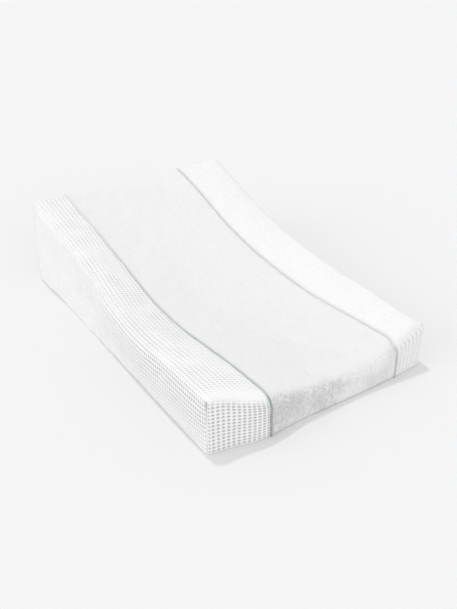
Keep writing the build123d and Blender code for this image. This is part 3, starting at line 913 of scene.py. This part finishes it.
def woven_material(name, low, high, thread, rough=0.8):
    """Plain cloth whose shade drifts from low to high, with threads this far apart."""
    g = Graph(name)
    at = g.place()
    over = g.crossed(at, thread)
    shade = g.mix(g.noise(at, 30 * MM, 3.0), low, high)
    between_threads = tuple(0.8 * c for c in low[:3]) + (1,)
    colour = g.mix(g.math("MULTIPLY", over, 0.35), shade, between_threads)
    return g.surface(colour, rough, g.bump(over, 0.2 * MM, 0.5), Sheen_Weight=0.1)


def foam_material():
    """Pale yellow open-cell foam."""
    g = Graph("foam")
    at = g.place()
    cells = g.add("TexVoronoi", {"Vector": at, "Scale": 1 / (1.4 * MM)}).outputs[0]
    shade = g.mix(g.noise(at, 20 * MM, 3.0), (0.80, 0.74, 0.55, 1), (0.86, 0.81, 0.63, 1))
    colour = g.mix(g.math("MULTIPLY", cells, 0.5), shade, (0.60, 0.54, 0.36, 1))
    return g.surface(colour, 0.9, g.bump(cells, 0.5 * MM, 0.6))


def film_material():
    """The liner's soft, crinkled film."""
    g = Graph("liner_film")
    at = g.place()
    crinkle = g.noise(at, 12 * MM, 4.0, 0.6)
    shade = g.mix(crinkle, grey(0.78), grey(0.86))
    rough = g.ramp(crinkle, 0.3, 0.7, 0.28, 0.42)
    return g.surface(shade, rough, g.bump(crinkle, 0.6 * MM, 0.4), Specular_IOR_Level=0.5)


def tape_material():
    """Ribbed zip tape."""
    g = Graph("zip_tape")
    at = g.place()
    ribs, picks = g.threads(at, 0.8 * MM, "Z"), g.threads(at, 0.7 * MM, "Y")
    height = g.math("ADD", ribs, g.math("MULTIPLY", picks, 0.5))
    shade = g.mix(g.math("MULTIPLY", ribs, picks), grey(0.80), grey(0.88))
    return g.surface(shade, 0.8, g.bump(height, 0.15 * MM, 0.6), Sheen_Weight=0.15)


def teeth_material():
    """Moulded plastic of the zip's teeth and stops."""
    g = Graph("zip_teeth")
    at = g.place()
    grain = g.noise(at, 1.2 * MM, 2.0)
    shade = g.mix(grain, grey(0.80), grey(0.87))
    rough = g.ramp(grain, 0.3, 0.7, 0.32, 0.45)
    return g.surface(shade, rough, g.bump(grain, 0.05 * MM, 0.4), Specular_IOR_Level=0.5)


def enamel_material():
    """Satin enamel on the zip's slider and pull, with the faint ripple of thick paint."""
    g = Graph("zip_metal")
    at = g.place()
    ripple, worn = g.noise(at, 0.8 * MM, 2.0), g.noise(at, 2.2 * MM, 3.0)
    shade = g.mix(g.ramp(worn, 0.35, 0.7), (0.86, 0.87, 0.87, 1), (0.78, 0.79, 0.79, 1))
    rough = g.ramp(worn, 0.3, 0.7, 0.30, 0.42)
    return g.surface(shade, rough, g.bump(ripple, 0.03 * MM, 0.3), Specular_IOR_Level=0.5,
                     Coat_Weight=0.3, Coat_Roughness=0.2)


def thread_material():
    """Twisted white sewing thread."""
    g = Graph("thread")
    at = g.place()
    twist = g.threads(at, 0.5 * MM, "DIAGONAL")
    shade = g.mix(twist, grey(0.80), grey(0.90))
    return g.surface(shade, 0.6, g.bump(twist, 0.08 * MM, 0.5), Sheen_Weight=0.2)


# ---- building the object
def finish_piece(obj, material, replaces=()):
    """Give a piece of the pad its material, hang it on the pad's body, and hide the CAD nodes that
    it replaces.
    """
    obj.data.materials.clear()
    obj.data.materials.append(material)
    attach(obj, "pad")
    if replaces:
        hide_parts(*replaces)
    return obj


def stitches(name, points, normals, material):
    """A row of short, plump stitches centred on points, laid along their line."""
    around, rings = 6, 5
    along = np.gradient(points, axis=0)
    along /= np.linalg.norm(along, axis=1, keepdims=True)
    across = np.cross(along, normals)
    a = np.linspace(0, 2 * math.pi, around, endpoint=False)
    s = np.linspace(-1, 1, rings)
    girth = np.sqrt(np.clip(1 - np.abs(s) ** 3, 0.03, 1))
    verts = (
        points[:, None, None]
        + along[:, None, None] * (0.5 * STITCH_LENGTH * s)[None, :, None, None]
        + STITCH_R * girth[None, :, None, None] * (
            across[:, None, None] * np.cos(a)[None, None, :, None]
            + normals[:, None, None] * np.sin(a)[None, None, :, None]
        )
    )
    i = np.arange(rings * around).reshape(rings, around)
    j = np.roll(i, -1, axis=1)
    one = np.stack([i[:-1], j[:-1], j[1:], i[1:]], -1).reshape(-1, 4).tolist()
    one += [i[0][::-1].tolist(), i[-1].tolist()]
    size, faces = rings * around, []
    for k in range(len(points)):
        faces += [[index + k * size for index in face] for face in one]
    return finish_piece(mesh_object(name, verts.reshape(-1, 3), faces), material)


def hem_stitches(name, up, material):
    """A row of stitches in the hem above (+1) or below (-1) the zip."""
    v = np.arange(-STITCH_Y, STITCH_Y, STITCH_PITCH)
    u = WALL_X + drop_to(np.full_like(v, WALL_X), v, ZIP_Z + up * (SLOT_HALF_OPEN + HEM_STITCH))
    place, normal = frame_of(u, v, lie)
    return stitches(name, place + normal * STITCH_LIFT, normal, material)


def dress(node, material):
    """A new material for a CAD node that is shown as it is."""
    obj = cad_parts[node]
    if not obj.material_slots:
        obj.data.materials.append(material)
    for place in obj.material_slots:
        place.material = material


waffle, terry, piping = waffle_material(), terry_material(), piping_material()
foam, film, thread = foam_material(), film_material(), thread_material()
base_cloth = woven_material("base_cloth", grey(0.82), grey(0.88), 1.1 * MM)
filler = woven_material("cord_filler", grey(0.70), grey(0.80), 0.6 * MM, rough=0.95)

centre = finish_piece(terry_panel("centre_panel"), terry, ["terry_centre_panel"])
left = finish_piece(waffle_panel("side_panel_left", -1), waffle, ["left_side_panel"])
right = finish_piece(
    waffle_panel("side_panel_right", 1, slot=True), waffle, ["right_side_panel"]
)

# painted shade on the piping: lightness from 0, dark, to 1, pale, by distance along the pad,
# darkest where it runs down the foot wall
PIPING_LIGHTNESS_Y = np.array([-356, -342, -200, 100, 340]) * MM
PIPING_LIGHTNESS = {"left": [0.0, 0.40, 0.45, 0.62, 1.0], "right": [0.42, 0.86, 0.90, 0.75, 0.62]}
for side, word in ((-1, "left"), (1, "right")):
    path, out = seam_line(side, PIPE_LIFT)
    painted_lightness = np.interp(path[:, 1], PIPING_LIGHTNESS_Y, PIPING_LIGHTNESS[word])
    finish_piece(
        tube(f"piping_{word}", path, out, PIPE_R, painted_lightness, ripple=0.07, seed=22 + side),
        piping, [f"{word}_piping_sleeve", f"{word}_piping_flange"],
    )
    finish_piece(
        tube(f"piping_{word}_filler", path, out, CORD_R, painted_lightness, sides=10),
        filler, [f"{word}_piping_cord"],
    )

# Each inner piece: how far inside the cover it lies, and the heights of its edge or its faces
LINER_IN, LINER_LOW, LINER_UNDER = 3.6 * MM, 3.2 * MM, (2.3 * MM, 2.7 * MM)
FOAM_IN, FOAM_LOW = 4.6 * MM, 3.4 * MM
BASE_IN, BASE_FACES = 1.4 * MM, (0.1 * MM, 2.0 * MM)
lining = finish_piece(shell("liner", LINER_IN, LINER_LOW), film, ["liner_shell"])
lining_base = finish_piece(
    plan_sheet("liner_under", LINER_IN, *LINER_UNDER), film, ["liner_base"]
)
core = finish_piece(
    shell("foam_block", FOAM_IN, FOAM_LOW, closed=True), foam, ["foam_core"]
)
base = finish_piece(
    plan_sheet("base_cloth_panel", BASE_IN, *BASE_FACES), base_cloth, ["base_panel"]
)

hem_stitches("zip_stitches_upper", 1, thread)
hem_stitches("zip_stitches_lower", -1, thread)
tape, teeth, enamel = tape_material(), teeth_material(), enamel_material()
for node in ("zip_upper_tape", "zip_lower_tape"):
    dress(node, tape)
for node in ("zip_upper_teeth", "zip_lower_teeth", "zip_top_stops", "zip_bottom_stop"):
    dress(node, teeth)
for node in ("zip_slider", "zip_pull"):
    dress(node, enamel)

# ---- floor, light, camera
FLOOR_HALF = 20  # metres, so that the floor's edge is out of sight
corners = [(x * FLOOR_HALF, y * FLOOR_HALF, 0) for x, y in ((-1, -1), (1, -1), (1, 1), (-1, 1))]
floor = mesh_object("floor", corners, [(0, 1, 2, 3)])
g = Graph("floor_paper")
paper = g.mix(g.noise(g.place(), 4 * MM, 2.0), grey(0.780), grey(0.790))
floor.data.materials.append(g.surface(paper, 0.95, Specular_IOR_Level=0.1))

SKY_LOW, SKY_HIGH = 0.93, 0.84  # brightness of the room at the horizon and overhead
world = bpy.data.worlds.new("studio")
bpy.context.scene.world = world
world.use_nodes = True
tree = world.node_tree
backdrop = tree.nodes["Background"]
backdrop.inputs["Color"].default_value = (1, 1, 1, 1)
sky = tree.nodes.new("ShaderNodeTexCoord").outputs["Generated"]
split = tree.nodes.new("ShaderNodeSeparateXYZ")
tree.links.new(sky, split.inputs[0])
fade = tree.nodes.new("ShaderNodeMapRange")
tree.links.new(split.outputs["Z"], fade.inputs["Value"])
fade.inputs["To Min"].default_value = SKY_LOW
fade.inputs["To Max"].default_value = SKY_HIGH
tree.links.new(fade.outputs[0], backdrop.inputs["Strength"])


def lamp(name, strength, towards, angle):
    """A soft sun whose light comes from the direction towards; angle, in degrees, softens it."""
    data = bpy.data.lights.new(name, "SUN")
    data.energy, data.angle = strength, math.radians(angle)
    obj = bpy.data.objects.new(name, data)
    obj.rotation_euler = Vector(towards).to_track_quat("Z", "Y").to_euler()
    bpy.context.scene.collection.objects.link(obj)


lamp("key", 0.64, (0.0, 0.32, 0.94), 4)
lamp("fill", 0.72, (-0.96, 0.08, 0.20), 60)
lamp("front", 0.58, (-0.20, -0.95, 0.25), 60)

# The photo's view, from a perspective fit of the pad's corners
CAMERA_TURN, CAMERA_TILT, CAMERA_ROLL = (math.radians(a) for a in (-31.30, 30.43, -1.12))
CAMERA_AIM, CAMERA_DISTANCE = Vector((0, 0.005, 0.040)), 1.6052
CAMERA_LENS, CAMERA_SENSOR = 47.30, 36  # millimetres
CAMERA_SHIFT = (0.02614, -0.00796)
level = Vector((math.cos(CAMERA_TURN), math.sin(CAMERA_TURN), 0))
outward = Vector((math.sin(CAMERA_TURN), -math.cos(CAMERA_TURN), 0))
back = outward * math.cos(CAMERA_TILT) + Vector((0, 0, math.sin(CAMERA_TILT)))
rise = back.cross(level)
x_axis = level * math.cos(CAMERA_ROLL) + rise * math.sin(CAMERA_ROLL)
y_axis = -level * math.sin(CAMERA_ROLL) + rise * math.cos(CAMERA_ROLL)
camera = bpy.data.objects.new("camera", bpy.data.cameras.new("camera"))
bpy.context.scene.collection.objects.link(camera)
pose = Matrix((x_axis, y_axis, back)).transposed().to_4x4()
pose.translation = CAMERA_AIM + back * CAMERA_DISTANCE
camera.matrix_world = pose
camera.data.sensor_width = CAMERA_SENSOR
camera.data.lens = CAMERA_LENS
camera.data.shift_x, camera.data.shift_y = CAMERA_SHIFT
bpy.context.scene.camera = camera
bpy.context.scene.view_settings.view_transform = "Standard"
